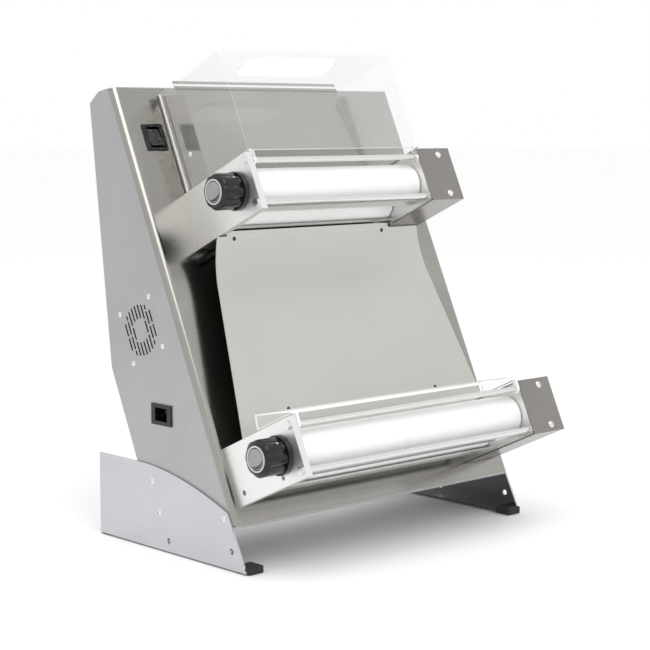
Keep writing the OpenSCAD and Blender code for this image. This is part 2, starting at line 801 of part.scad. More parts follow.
module bearing_slides(h) {
    color("goldenrod") on_face() {
        slide_block(h[0] - cheek_t + skin_t + slide_fit, cheek_t - skin_t - slide_fit, h[2]);
        slide_block(h[1], cheek_t, h[2]);
        slide_block(h[1] + plate_x, plate_t, h[2]);
    }
}
module roller(h, n) {
    color("white") on_face() difference() {
        rod_x(h[0] + 1, h[1] - 1, h[2], n, roller_r);
        rod_x(h[0], h[1], h[2], n, shaft_r);
    }
}
module roller_shaft(h, n) {
    color("silver") on_face()
        rod_x(h[0] - cheek_t + skin_t + 1, h[1] + plate_x + plate_t + 1, h[2], n, shaft_r);
}
module head_gear(h, n, teeth, gap_first, bore) {
    color("darkgray") on_face()
        gear(h[1] + cheek_t + gear_x, h[2], n, teeth, gap_first, bore);
}
module drive_shaft(h, from) {
    color("silver") on_face()
        rod_x(from, h[1] + plate_x + plate_t + 1, h[2], drive_n, shaft_r);
}
// Belt pulley with a thin flange on each side
module pulley(h) {
    x0 = belt_x - belt_w / 2 - 1;
    color("dimgray") on_face() difference() {
        union() {
            rod_x(x0 - 1.5, x0 + belt_w + 3.5, h[2], drive_n, pulley_r);
            rod_x(x0 - 1.5, x0, h[2], drive_n, pulley_r + 3);
            rod_x(x0 + belt_w + 2, x0 + belt_w + 3.5, h[2], drive_n, pulley_r + 3);
        }
        rod_x(x0 - 2, x0 + belt_w + 4, h[2], drive_n, shaft_r);
    }
}
// Lobed knob with a skirt, turning in the cheek's outer skin
skirt_h = 7;
lobes = 8;
nose_h = 4;
cap_r = 17;
module knob(h) {
    x0 = h[0] - cheek_t - slide_fit;
    color("black") on_face() difference() {
        union() {
            rod_x(x0 - skirt_h, x0, h[2], front_n, skirt_r);
            translate([x0 - knob_len, -front_n, h[2]]) rotate([0, 90, 0])
                cylinder(h = nose_h, r1 = cap_r + 1.8, r2 = grip_r - 1.5);
            rod_x(x0 - knob_len + nose_h, x0 - skirt_h + touch, h[2], front_n, grip_r - 1.5);
            for (i = [0:lobes - 1]) {
                a = 360 / lobes * (i + 0.5);
                rod_x(x0 - knob_len + nose_h, x0 - skirt_h + touch,
                    h[2] + (grip_r - 6) * cos(a), front_n + (grip_r - 6) * sin(a), 6);
            }
            rod_x(x0, h[0] - cheek_t + skin_t - slide_fit, h[2], front_n, shaft_r);
        }
        rod_x(x0 - knob_len - 1, x0 - knob_len + 2, h[2], front_n, cap_r);
    }
}
module knob_cap(h) {
    x0 = h[0] - cheek_t - slide_fit - knob_len;
    color("gray") on_face() rod_x(x0 - cap_lift, x0 + 2, h[2], front_n, cap_r);
}
// Ear of a guard around the upper tie rod
module ear(x, c, top) {
    difference() {
        union() {
            rod_x(x, x + guard_t, c + rod_off, rod_n, head_d - rod_n);
            slab(x, x + guard_t, c + rod_off, top, rod_n, head_d);
        }
        rod_x(x - 1, x + guard_t + 1, c + rod_off, rod_n, rod_r + run_fit);
    }
}
module upper_guard() {
    h = heads[0];
    g0 = h[0] - guard_t - 3;
    g1 = h[1] + guard_t + 3;
    lo = h[2] + head_h / 2 + guard_lift;
    hi = lo + guard_h;
    feed_n = 98.5;
    color([0.9, 0.95, 1, 0.35]) on_face() {
        difference() {
            union() {
                slab(g0, g1, lo, hi, head_d - guard_t, head_d);
                slab(g0, g1, hi - guard_t, hi, guard_top_n, head_d);
                for (x = [g0, g1 - guard_t]) slab(x, x + guard_t, lo, hi, 3, head_d);
            }
            // Feed slot with round ends
            for (s = [-1, 1])
                translate([(g0 + g1) / 2 + s * (feed_len - feed_w) / 2, -feed_n, hi - 2 * guard_t])
                    cylinder(h = 3 * guard_t, r = feed_w / 2);
            slab((g0 + g1 - feed_len + feed_w) / 2, (g0 + g1 + feed_len - feed_w) / 2,
                hi - 2 * guard_t, hi + guard_t, feed_n - feed_w / 2, feed_n + feed_w / 2);
        }
        for (x = [h[0] + 0.5, h[1] - 0.5 - guard_t]) ear(x, h[2], lo + guard_t);
    }
}
module lower_guard() {
    h = heads[1];
    g0 = h[0] - guard_t - 3;
    g1 = h[1] + guard_t + 3;
    lo = h[2] + head_h / 2 + guard_lift;
    // Side outline of the cover and of its end walls, as [y, z] in the face frame
    cover = [
        [-head_d, lo], [-head_d, lo + guard_t], [-low_guard_n, lo + low_guard_rise + guard_t],
        [-low_guard_n, lo + low_guard_rise], [-head_d + guard_t, lo]
    ];
    wall = [[-head_d, lo], [-low_guard_n, lo + low_guard_rise], [-low_guard_n + 3, lo]];
    color([0.9, 0.95, 1, 0.35]) on_face() {
        translate([g0, 0, 0]) rotate([90, 0, 90]) linear_extrude(g1 - g0) polygon(cover);
        for (x = [g0, g1 - guard_t])
            translate([x, 0, 0]) rotate([90, 0, 90]) linear_extrude(guard_t) polygon(wall);
        for (x = [h[0] + 0.5, h[1] - 0.5 - guard_t]) ear(x, h[2], lo + guard_t / 2);
    }
}

module upper_left_cheek() { left_cheek(heads[0], []); }
module upper_inner_cheek() { inner_cheek(heads[0]); }
module upper_bearing_plate() { bearing_plate(heads[0]); }
module upper_arm_cover() { arm_cover(heads[0]); }
module upper_bearing_slides() { bearing_slides(heads[0]); }
module upper_front_roller() { roller(heads[0], front_n); }
module upper_front_shaft() { roller_shaft(heads[0], front_n); }
module upper_front_gear() { head_gear(heads[0], front_n, roller_teeth, false, shaft_r); }
module upper_rear_roller() { roller(heads[0], rear_n); }
module upper_rear_shaft() { roller_shaft(heads[0], rear_n); }
module upper_rear_gear() { head_gear(heads[0], rear_n, roller_teeth, true, shaft_r); }
module upper_idler_gear() {
    head_gear(heads[0], idler_n, roller_teeth, false, axle_r + run_fit);
}
module upper_drive_shaft() { drive_shaft(heads[0], belt_x - belt_w / 2 - 4); }
module upper_drive_gear() { head_gear(heads[0], drive_n, drive_teeth, true, shaft_r); }
module upper_pulley() { pulley(heads[0]); }
module upper_knob() { knob(heads[0]); }
module upper_knob_cap() { knob_cap(heads[0]); }
module lower_left_cheek() { left_cheek(heads[1], [[-25, 17.6], [-28, 100]]); }
module lower_inner_cheek() { inner_cheek(heads[1]); }
module lower_bearing_plate() { bearing_plate(heads[1]); }
module lower_arm_cover() { arm_cover(heads[1]); }
module lower_bearing_slides() { bearing_slides(heads[1]); }
module lower_front_roller() { roller(heads[1], front_n); }
module lower_front_shaft() { roller_shaft(heads[1], front_n); }
module lower_front_gear() { head_gear(heads[1], front_n, roller_teeth, false, shaft_r); }
module lower_rear_roller() { roller(heads[1], rear_n); }
module lower_rear_shaft() { roller_shaft(heads[1], rear_n); }
module lower_rear_gear() { head_gear(heads[1], rear_n, roller_teeth, true, shaft_r); }
module lower_idler_gear() {
    head_gear(heads[1], idler_n, roller_teeth, false, axle_r + run_fit);
}
module lower_drive_shaft() { drive_shaft(heads[1], box_x1 - 29); }
module lower_drive_gear() { head_gear(heads[1], drive_n, drive_teeth, true, shaft_r); }
module lower_pulley() { pulley(heads[1]); }
module lower_knob() { knob(heads[1]); }
module lower_knob_cap() { knob_cap(heads[1]); }

front_panel();
left_panel();
right_panel();
back_cover();
base_plate();
left_stand();
right_stand();
stand_feet();
panel_screws();
fan_frame();
fan_rotor();
power_inlet();
switch_bezel();
switch_rocker();
hopper_pan();
chute();
chute_posts();
motor();
gearbox();
drive_belt();
tie_rods();
scrapers();
bushes();
arm_screws();
upper_guard();
upper_left_cheek();
upper_inner_cheek();
upper_bearing_plate();
upper_arm_cover();
upper_bearing_slides();
upper_front_roller();
upper_front_shaft();
upper_front_gear();
upper_rear_roller();
upper_rear_shaft();
upper_rear_gear();
upper_idler_gear();
upper_drive_shaft();
upper_drive_gear();
upper_pulley();
upper_knob();
upper_knob_cap();
lower_guard();
lower_left_cheek();
lower_inner_cheek();
lower_bearing_plate();
lower_arm_cover();
lower_bearing_slides();
lower_front_roller();
lower_front_shaft();
lower_front_gear();
lower_rear_roller();
lower_rear_shaft();
lower_rear_gear();
lower_idler_gear();
lower_drive_shaft();
lower_drive_gear();
lower_pulley();
lower_knob();
lower_knob_cap();
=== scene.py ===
"""Dough sheeter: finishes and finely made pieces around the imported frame."""

from __future__ import annotations

import json
import logging
import math
from collections.abc import Iterable
from dataclasses import dataclass
from enum import Enum

import bmesh
import bpy
from mathutils import Matrix, Vector

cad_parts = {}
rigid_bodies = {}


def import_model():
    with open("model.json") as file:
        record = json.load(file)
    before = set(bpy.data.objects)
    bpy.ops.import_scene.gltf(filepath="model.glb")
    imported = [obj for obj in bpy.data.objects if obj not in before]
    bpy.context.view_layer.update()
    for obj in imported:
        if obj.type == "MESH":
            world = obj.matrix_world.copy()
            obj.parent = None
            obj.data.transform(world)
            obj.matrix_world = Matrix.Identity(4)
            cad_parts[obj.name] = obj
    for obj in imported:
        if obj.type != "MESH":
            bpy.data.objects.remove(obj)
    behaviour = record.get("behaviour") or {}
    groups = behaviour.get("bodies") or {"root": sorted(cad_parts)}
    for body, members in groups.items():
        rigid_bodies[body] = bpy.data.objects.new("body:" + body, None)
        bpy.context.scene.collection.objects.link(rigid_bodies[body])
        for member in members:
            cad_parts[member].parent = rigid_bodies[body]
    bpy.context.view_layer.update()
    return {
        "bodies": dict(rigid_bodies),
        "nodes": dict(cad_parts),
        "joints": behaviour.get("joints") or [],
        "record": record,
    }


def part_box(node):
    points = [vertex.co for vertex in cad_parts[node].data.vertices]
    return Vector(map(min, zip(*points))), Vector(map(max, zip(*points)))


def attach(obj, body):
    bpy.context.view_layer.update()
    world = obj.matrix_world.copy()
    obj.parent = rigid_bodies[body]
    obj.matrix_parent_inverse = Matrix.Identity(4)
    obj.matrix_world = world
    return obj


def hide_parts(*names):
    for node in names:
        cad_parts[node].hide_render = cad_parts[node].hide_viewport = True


LOG = logging.getLogger("dough_sheeter")
HEADS = ("upper", "lower")
MM = 0.001
X_AXIS = Vector((1.0, 0.0, 0.0))
# Lean of the casing's face, which the brushing marks follow
FACE_TILT = math.radians(24.7)
# Vertices of a CAD mesh closer than this are one
WELD = 2e-6
# CAD triangles that differ by less lie in one flat face
FLAT = math.radians(0.4)


class Grain(Enum):
    """How the brushing marks of a metal are drawn out, as scales along X, Y and Z."""

    ACROSS = (1.2, 700.0, 700.0)
    UPHILL = (900.0, 900.0, 3.0)
    DEEP = (900.0, 3.0, 900.0)
    EVEN = (420.0, 420.0, 420.0)


class Graph:
    """The node tree of one material, with short ways to add and join its nodes."""

    def __init__(self, name: str) -> None:
        """Start a material with its Principled shader.

        Args:
            name: Name of the new material.
        """
        self.material = bpy.data.materials.new(name)
        self.material.use_nodes = True
        self.tree = self.material.node_tree
        self.shader = self.tree.nodes["Principled BSDF"]

    def add(self, kind: str, **settings: object) -> bpy.types.Node:
        """Add a node and set its properties.

        Args:
            kind: Blender's node type.
            **settings: Properties of the node.

        Returns:
            The new node.
        """
        node = self.tree.nodes.new(kind)
        for key, value in settings.items():
            setattr(node, key, value)
        return node

    def join(self, start: bpy.types.NodeSocket, end: bpy.types.NodeSocket) -> None:
        """Link an output socket to an input socket."""
        self.tree.links.new(start, end)

    def constants(self, **values: object) -> None:
        """Set sockets of the shader, with underscores standing for spaces."""
        for key, value in values.items():
            self.shader.inputs[key.replace("_", " ")].default_value = value

    def place(
        self,
        stretch: tuple[float, float, float] = (1.0, 1.0, 1.0),
        turn: float = 0.0,
    ) -> bpy.types.NodeSocket:
        """Give object coordinates that are turned about X and stretched.

        Args:
            stretch: Scale along each axis.
            turn: Angle about X in radians.

        Returns:
            The vector socket.
        """
        source = self.add("ShaderNodeTexCoord")
        leant = self.add("ShaderNodeMapping", vector_type="POINT")
        leant.inputs["Rotation"].default_value = (turn, 0.0, 0.0)
        self.join(source.outputs["Object"], leant.inputs["Vector"])
        scaled = self.add("ShaderNodeMapping", vector_type="POINT")
        scaled.inputs["Scale"].default_value = stretch
        self.join(leant.outputs["Vector"], scaled.inputs["Vector"])
        return scaled.outputs["Vector"]

    def noise(
        self,
        vector: bpy.types.NodeSocket,
        scale: float,
        detail: float = 3.0,
        rough: float = 0.5,
    ) -> bpy.types.NodeSocket:
        """Add a noise texture and give its factor.

        Args:
            vector: Coordinates to read.
            scale: Scale of the noise.
            detail: Octaves of the noise.
            rough: Strength of the finer octaves.

        Returns:
            The factor socket.
        """
        node = self.add("ShaderNodeTexNoise")
        node.inputs["Scale"].default_value = scale
        node.inputs["Detail"].default_value = detail
        node.inputs["Roughness"].default_value = rough
        self.join(vector, node.inputs["Vector"])
        return node.outputs["Fac"]

    def remap(
        self, value: bpy.types.NodeSocket, low: float, high: float
    ) -> bpy.types.NodeSocket:
        """Spread the middle of a noise over a new range.

        Args:
            value: Factor to spread.
            low: Result for the noise's low values.
            high: Result for its high values.

        Returns:
            The spread value.
        """
        node = self.add("ShaderNodeMapRange")
        limits = {"From Min": 0.3, "From Max": 0.7, "To Min": low, "To Max": high}
        for socket, number in limits.items():
            node.inputs[socket].default_value = number
        self.join(value, node.inputs["Value"])
        return node.outputs["Result"]

    def multiply(
        self, first: bpy.types.NodeSocket, second: bpy.types.NodeSocket
    ) -> bpy.types.NodeSocket:
        """Multiply two values.

        Args:
            first: One value.
            second: The other value.

        Returns:
            Their product.
        """
        node = self.add("ShaderNodeMath", operation="MULTIPLY")
        self.join(first, node.inputs[0])
        self.join(second, node.inputs[1])
        return node.outputs[0]

    def blend(
        self,
        factor: bpy.types.NodeSocket,
        first: tuple[float, float, float],
        second: tuple[float, float, float],
    ) -> bpy.types.NodeSocket:
        """Mix two colours by a factor.

        Args:
            factor: Share of the second colour.
            first: Colour at 0.
            second: Colour at 1.

        Returns:
            The mixed colour.
        """
        node = self.add("ShaderNodeMix", data_type="RGBA")
        node.inputs[6].default_value = (*first, 1.0)
        node.inputs[7].default_value = (*second, 1.0)
        self.join(factor, node.inputs[0])
        return node.outputs[2]

    def relief(
        self, height: bpy.types.NodeSocket, strength: float, depth: float
    ) -> None:
        """Drive the shader's normal from a height.

        Args:
            height: Height of the surface from 0 to 1.
            strength: Strength of the relief.
            depth: Depth of the relief in metres.
        """
        node = self.add("ShaderNodeBump")
        node.inputs["Strength"].default_value = strength
        node.inputs["Distance"].default_value = depth
        self.join(height, node.inputs["Height"])
        self.join(node.outputs["Normal"], self.shader.inputs["Normal"])


def shade(tone: tuple[float, float, float], amount: float) -> tuple[float, float, float]:
    """Make a colour lighter or darker by a factor."""
    return tuple(min(1.0, channel * amount) for channel in tone)


@dataclass(frozen=True)
class BrushedMetal:
    """Sheet or bar metal with fine drawn-out marks and faint handling clouds."""

    name: str
    tone: tuple[float, float, float]
    grain: Grain = Grain.ACROSS
    rough: float = 0.3
    streak: float = 0.06
    cloud: float = 0.05
    tilted: bool = True

    def make(self) -> bpy.types.Material:
        """Build the material.

        Returns:
            The new material.
        """
        graph = Graph(self.name)
        graph.constants(Metallic=1.0)
        turn = -FACE_TILT if self.tilted else 0.0
        place = graph.place(self.grain.value, turn)
        marks = graph.noise(place, scale=1.0, detail=4.0, rough=0.65)
        clouds = graph.noise(graph.place(), scale=7.0, detail=3.0, rough=0.55)
        colour = graph.blend(
            graph.remap(marks, 0.0, 1.0),
            shade(self.tone, 1.0 - self.streak),
            shade(self.tone, 1.0 + self.streak),
        )
        tint = graph.add("ShaderNodeMix", data_type="RGBA", blend_type="MULTIPLY")
        tint.inputs[0].default_value = 1.0
        graph.join(colour, tint.inputs[6])
        graph.join(
            graph.blend(
                graph.remap(clouds, 0.0, 1.0),
                shade((1.0, 1.0, 1.0), 1.0 - self.cloud * 2),
                (1.0, 1.0, 1.0),
            ),
            tint.inputs[7],
        )
        graph.join(tint.outputs[2], graph.shader.inputs["Base Color"])
        spread = graph.multiply(
            graph.remap(marks, self.rough * 0.85, self.rough * 1.15),
            graph.remap(clouds, 0.9, 1.15),
        )
        graph.join(spread, graph.shader.inputs["Roughness"])
        graph.relief(marks, strength=0.02, depth=0.00008)
        return graph.material


@dataclass(frozen=True)
class MachinedMetal:
    """Turned, cut or plated metal with even fine tooling marks."""

    name: str
    tone: tuple[float, float, float]
    rough: float = 0.25
    grain: Grain = Grain.EVEN

    def make(self) -> bpy.types.Material:
        """Build the material.

        Returns:
            The new material.
        """
        graph = Graph(self.name)
        graph.constants(Metallic=1.0)
        place = graph.place(self.grain.value)
        marks = graph.noise(place, scale=1.0, detail=3.0, rough=0.6)
        graph.join(
            graph.blend(
                graph.remap(marks, 0.0, 1.0), shade(self.tone, 0.95), shade(self.tone, 1.03)
            ),
            graph.shader.inputs["Base Color"],
        )
        graph.join(
            graph.remap(marks, self.rough * 0.88, self.rough * 1.14),
            graph.shader.inputs["Roughness"],
        )
        graph.relief(marks, strength=0.02, depth=0.00005)
        return graph.material


@dataclass(frozen=True)
class Moulding:
    """Moulded plastic, rubber or paint with a fine grain and slight mottling."""

    name: str
    tone: tuple[float, float, float]
    rough: float = 0.4
    grain: float = 2600.0
    relief: float = 0.12
    depth: float = 0.00006
    mottle: float = 0.06
    coat: float = 0.0
    gloss: float = 0.5

    def make(self) -> bpy.types.Material:
        """Build the material.

        Returns:
            The new material.
        """
        graph = Graph(self.name)
        graph.constants(
            Coat_Weight=self.coat, Coat_Roughness=0.12, Specular_IOR_Level=self.gloss
        )
        fine = graph.noise(graph.place(), scale=self.grain, detail=2.0, rough=0.6)
        broad = graph.noise(graph.place(), scale=28.0, detail=3.0, rough=0.55)
        graph.join(
            graph.blend(
                graph.remap(broad, 0.0, 1.0),
                shade(self.tone, 1.0 - self.mottle),
                shade(self.tone, 1.0 + self.mottle),
            ),
            graph.shader.inputs["Base Color"],
        )
        graph.join(
            graph.multiply(
                graph.remap(fine, self.rough * 0.9, self.rough * 1.1),
                graph.remap(broad, 0.92, 1.12),
            ),
            graph.shader.inputs["Roughness"],
        )
        graph.relief(fine, self.relief, self.depth)
        return graph.material


@dataclass(frozen=True)
class ClearSheet:
    """Clear acrylic sheet with faint wiping marks, or the pale painted highlight on its
    edges and bends.
    """

    name: str
    tone: tuple[float, float, float] = (0.8, 0.805, 0.805)
    rough: float = 0.03
    alpha: float = 0.1

    def make(self) -> bpy.types.Material:
        """Build the material.

        Returns:
            The new material.
        """
        graph = Graph(self.name)
        graph.constants(
            Base_Color=(*self.tone, 1.0),
            IOR=1.3,
            Alpha=self.alpha,
        )
        place = graph.place((6.0, 30.0, 30.0))
        wiped = graph.noise(place, scale=1.0, detail=3.0, rough=0.6)
        graph.join(
            graph.remap(wiped, self.rough * 0.5, self.rough * 2.0),
            graph.shader.inputs["Roughness"],
        )
        return graph.material


class Finishes(Enum):
    """Every finish on the machine. Those of the record's slots have the slot's name."""

    polished_steel = BrushedMetal(
        "polished_steel", (0.37, 0.36, 0.335), Grain.ACROSS, 0.17, 0.05, 0.06
    )
    satin_steel = BrushedMetal("satin_steel", (0.45, 0.44, 0.445), Grain.UPHILL, 0.38, 0.05)
    # Painted light: a lighter copy of the satin steel for the chute, which faces up into
    # the light
    chute_painted_light = BrushedMetal(
        "chute_painted_light", (0.60, 0.595, 0.56), Grain.UPHILL, 0.42, 0.03, 0.03
    )
    stand_steel = BrushedMetal(
        "stand_steel", (0.58, 0.58, 0.605), Grain.DEEP, 0.34, 0.05, 0.04, False
    )
    # Painted shade: a dark copy of the stand steel for the right stand's inner face,
    # standing in for the shadow under the machine
    stand_painted_shade = BrushedMetal(
        "stand_painted_shade", (0.13, 0.13, 0.135), Grain.DEEP, 0.3, 0.05, 0.05, False
    )
    arm_steel = BrushedMetal("arm_steel", (0.29, 0.275, 0.26), Grain.UPHILL, 0.25, 0.02)
    cheek_aluminium = BrushedMetal(
        "cheek_aluminium", (0.82, 0.82, 0.81), Grain.DEEP, 0.36, 0.04, 0.03
    )
    bright_steel = MachinedMetal("bright_steel", (0.74, 0.74, 0.73), 0.2)
    dark_steel = MachinedMetal("dark_steel", (0.07, 0.07, 0.075), 0.3)
    gear_steel = MachinedMetal("gear_steel", (0.42, 0.42, 0.43), 0.34)
    bronze = MachinedMetal("bronze", (0.60, 0.42, 0.22), 0.32)
    rubber = Moulding("rubber", (0.018, 0.018, 0.018), 0.7, 1500.0, 0.25, 0.0001)
    black_plastic = Moulding(
        "black_plastic", (0.006, 0.006, 0.007), 0.2, 2400.0, 0.08, coat=0.15, gloss=0.35
    )
    gloss_black = Moulding("gloss_black", (0.01, 0.01, 0.011), 0.12, 900.0, 0.03, coat=0.3)
    grey_plastic = Moulding("grey_plastic", (0.27, 0.27, 0.28), 0.36)
    pale_plastic = Moulding("pale_plastic", (0.5, 0.5, 0.49), 0.3, coat=0.3)
    white_roller = Moulding(
        "white_roller", (0.87, 0.87, 0.865), 0.3, 900.0, 0.05, mottle=0.012
    )
    motor_paint = Moulding(
        "motor_paint", (0.10, 0.13, 0.17), 0.42, 700.0, 0.3, 0.0002, 0.1
    )
    clear_guard = ClearSheet("clear_guard")
    # Painted highlight: a pale, nearly opaque sheet for the guard's edges and bends
    guard_painted_highlight = ClearSheet("guard_painted_highlight", (0.93, 0.93, 0.925), 0.35, 0.9)


class Workshop:
    """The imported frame, with the finishes made once and given to pieces by slot."""

    def __init__(self, frame: dict) -> None:
        """Read the frame and make every finish.
        """
        self.nodes: dict[str, bpy.types.Object] = frame["nodes"]
        record = frame["record"]
        self.slots = {part["node"]: part["material_slot"] for part in record["subparts"]}
        self.body = {
            node: body
            for body, members in record["behaviour"]["bodies"].items()
            for node in members
        }
        self.finish = {finish.name: finish.value.make() for finish in Finishes}

    def dress(self, names: Iterable[str], finish: Finishes | None = None) -> None:
        """Give CAD nodes the finish of their slot, or another one.

        Args:
            names: The nodes.
            finish: Finish to use in place of the slot's own.
        """
        for name in names:
            mesh = self.nodes[name].data
            mesh.materials.clear()
            mesh.materials.append(self.finish[finish.name if finish else self.slots[name]])
            LOG.info("dressed %s", name)

    def stand_for(
        self,
        piece: bpy.types.Object,
        node: str,
        finishes: tuple[Finishes, ...] = (),
        hide: bool = True,
        smooth: float = 35.0,
    ) -> bpy.types.Object:
        """Let a piece ride on a node's body, in the node's place or beside it.

        Args:
            piece: The new piece.
            node: The CAD node.
            finishes: Finishes to use in place of the slot's own.
            hide: Whether the piece replaces the node.
            smooth: Angle in degrees above which its edges stay sharp.

        Returns:
            The piece.
        """
        names = [finish.name for finish in finishes] or [self.slots[node]]
        for name in names:
            piece.data.materials.append(self.finish[name])
        smooth_by_angle(piece, smooth)
        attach(piece, self.body[node])
        if hide:
            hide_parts(node)
        LOG.info("made %s", piece.name)
        return piece

    def copy(self, node: str, name: str) -> bpy.types.Object:
        """Copy a CAD node with its loose triangles merged into clean faces.

        Args:
            node: The CAD node.
            name: Name of the copy.

        Returns:
            The copy.
        """
        form = bmesh.new()
        form.from_mesh(self.nodes[node].data)
        bmesh.ops.remove_doubles(form, verts=form.verts, dist=WELD)
        bmesh.ops.dissolve_limit(
            form,
            angle_limit=FLAT,
            verts=form.verts,
            edges=form.edges,
            use_dissolve_boundaries=False,
            delimit={"NORMAL"},
        )
        return into_object(form, name)

    def soften(
        self,
        node: str,
        width: float,
        steps: int = 2,
        angle: float = 35.0,
        finishes: tuple[Finishes, ...] = (),
    ) -> bpy.types.Object:
        """Replace a CAD node by a copy whose edges are broken by a small radius.

        Args:
            node: The CAD node.
            width: Width of the broken edges in metres.
            steps: Segments over each edge.
            angle: Sharpest angle in degrees that stays as it is.
            finishes: Finishes to use in place of the slot's own.

        Returns:
            The softened copy.
        """
        piece = self.copy(node, f"{node}_finished")
        self.stand_for(piece, node, finishes, smooth=angle)
        edge = piece.modifiers.new("broken_edges", "BEVEL")
        edge.width = width
        edge.segments = steps
        edge.limit_method = "ANGLE"
        edge.angle_limit = math.radians(angle)
        edge.harden_normals = True
        return piece


def into_object(form: bmesh.types.BMesh, name: str) -> bpy.types.Object:
    """Turn a bmesh into an object at the origin.

    Args:
        form: The mesh, which is freed.
        name: Name of the object.

    Returns:
        The new object.
    """
    mesh = bpy.data.meshes.new(name)
    form.to_mesh(mesh)
    form.free()
    piece = bpy.data.objects.new(name, mesh)
    bpy.context.scene.collection.objects.link(piece)
    return piece


def smooth_by_angle(piece: bpy.types.Object, angle: float) -> None:
    """Shade a piece smooth with its edges above an angle kept sharp.

    Args:
        piece: The piece.
        angle: Angle in degrees.
    """
    form = bmesh.new()
    form.from_mesh(piece.data)
    for face in form.faces:
        face.smooth = True
    for edge in form.edges:
        edge.smooth = edge.calc_face_angle(0.0) < math.radians(angle)
    form.to_mesh(piece.data)
    form.free()


def turned(
    profile: list[tuple[float, float]], steps: int = 64, ring: bool = False
) -> bmesh.types.BMesh:
    """Spin half an outline about X into a closed solid of revolution.

    Args:
        profile: Points as distance along X and radius.
        steps: Steps of the full turn.
        ring: Whether the outline closes on itself, for a piece with a bore.

    Returns:
        The mesh, lying along X from the origin.
    """
    form = bmesh.new()
    rim = [form.verts.new((along, 0.0, radius)) for along, radius in profile]
    pairs = list(zip(rim, rim[1:])) + ([(rim[-1], rim[0])] if ring else [])
    edges = [form.edges.new(pair) for pair in pairs]
    bmesh.ops.spin(
        form,
        geom=rim + edges,
        axis=X_AXIS,
        cent=(0.0, 0.0, 0.0),
        steps=steps,
        angle=math.tau,
        use_merge=True,
    )
    bmesh.ops.remove_doubles(form, verts=form.verts, dist=1e-6)
    bmesh.ops.recalc_face_normals(form, faces=form.faces)
    return form


def rounded(
    length: float, radius: float, edge: float, steps: int = 5
) -> list[tuple[float, float]]:
    """Outline of a plain round bar's outside with rounded ends.

    Args:
        length: Length of the bar.
        radius: Its radius.
        edge: Radius of its rounded ends.
        steps: Segments of each rounding.

    Returns:
        Points as distance along X and radius, without the ends' middles.
    """
    quarter = [math.pi / 2 * i / steps for i in range(steps + 1)]
    start = [
        (edge - edge * math.cos(a), radius - edge + edge * math.sin(a)) for a in quarter
    ]
    return start + [(length - along, height) for along, height in reversed(start)]


def merged(forms: Iterable[bmesh.types.BMesh]) -> bmesh.types.BMesh:
    """Put several meshes into one.

    Args:
        forms: The meshes, which are freed.

    Returns:
        The joined mesh.
    """
    whole = bmesh.new()
    for form in forms:
        mesh = bpy.data.meshes.new("part")
        form.to_mesh(mesh)
        form.free()
        whole.from_mesh(mesh)
        bpy.data.meshes.remove(mesh)
    return whole


def moved(
    form: bmesh.types.BMesh, at: Vector, along: Vector = X_AXIS
) -> bmesh.types.BMesh:
    """Turn a mesh so that its X axis points along a direction, then move its origin.

    Args:
        form: The mesh.
        at: New place of its origin.
        along: New direction of its X axis.

    Returns:
        The same mesh.
    """
    turn = X_AXIS.rotation_difference(along).to_matrix()
    bmesh.ops.transform(
        form, matrix=Matrix.Translation(at) @ turn.to_4x4(), verts=form.verts
    )
    return form


def outline_mm(*points: tuple[float, float]) -> list[tuple[float, float]]:
    """Turn an outline from millimetres into metres."""
    return [(along * MM, radius * MM) for along, radius in points]


def start_of(node: str) -> Vector:
    """Find where a round node's axis, which runs along X, begins.

    Args:
        node: The CAD node.

    Returns:
        The middle of its end with the lowest X.
    """
    low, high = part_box(node)
    return Vector((low.x, (low.y + high.y) / 2, (low.z + high.z) / 2))


@dataclass
class Casing:
    """The folded steel casing with its hopper and chute."""

    sheets: tuple[str, ...] = (
        "front_panel",
        "left_panel",
        "right_panel",
        "back_cover",
        "base_plate",
    )
    hopper: str = "hopper_pan"
    chute: str = "chute"
    posts: str = "chute_posts"
    edge: float = 0.45 * MM

    def build(self, shop: Workshop) -> None:
        """Dress the casing, the hopper and the chute, the chute in a lighter copy of the
        satin steel with painted light.

        Args:
            shop: The workshop.
        """
        shop.dress(self.sheets)
        shop.soften(self.hopper, self.edge)
        shop.dress((self.posts,), Finishes.dark_steel)
        # The chute is satin steel; this lighter finish paints the light falling on its
        # upturned face
        shop.dress((self.chute,), Finishes.chute_painted_light)


@dataclass
class Stands:
    """The two side stands and their rubber shoes."""

    left: str = "left_stand"
    right: str = "right_stand"
    shoes: str = "stand_feet"
    edge: float = 0.4 * MM
    shoe_edge: float = 1.5 * MM
    shoe_steps: int = 3
    # Faces whose normal X lies below this are the right stand's inner side, which gets the
    # painted shade
    inward: float = -0.5

    def build(self, shop: Workshop) -> None:
        """Make the stands and the shoes with broken edges, with painted shade on the right
        stand's inner face.

        Args:
            shop: The workshop.
        """
        shop.soften(self.left, self.edge)
        # The right stand's inner face gets the painted shade, its other faces the plain
        # stand steel
        steel_and_painted_shade = (Finishes.stand_steel, Finishes.stand_painted_shade)
        plate = shop.soften(self.right, self.edge, finishes=steel_and_painted_shade)
        for face in plate.data.polygons:
            face.material_index = int(face.normal.x < self.inward)
        shop.soften(self.shoes, self.shoe_edge, self.shoe_steps)


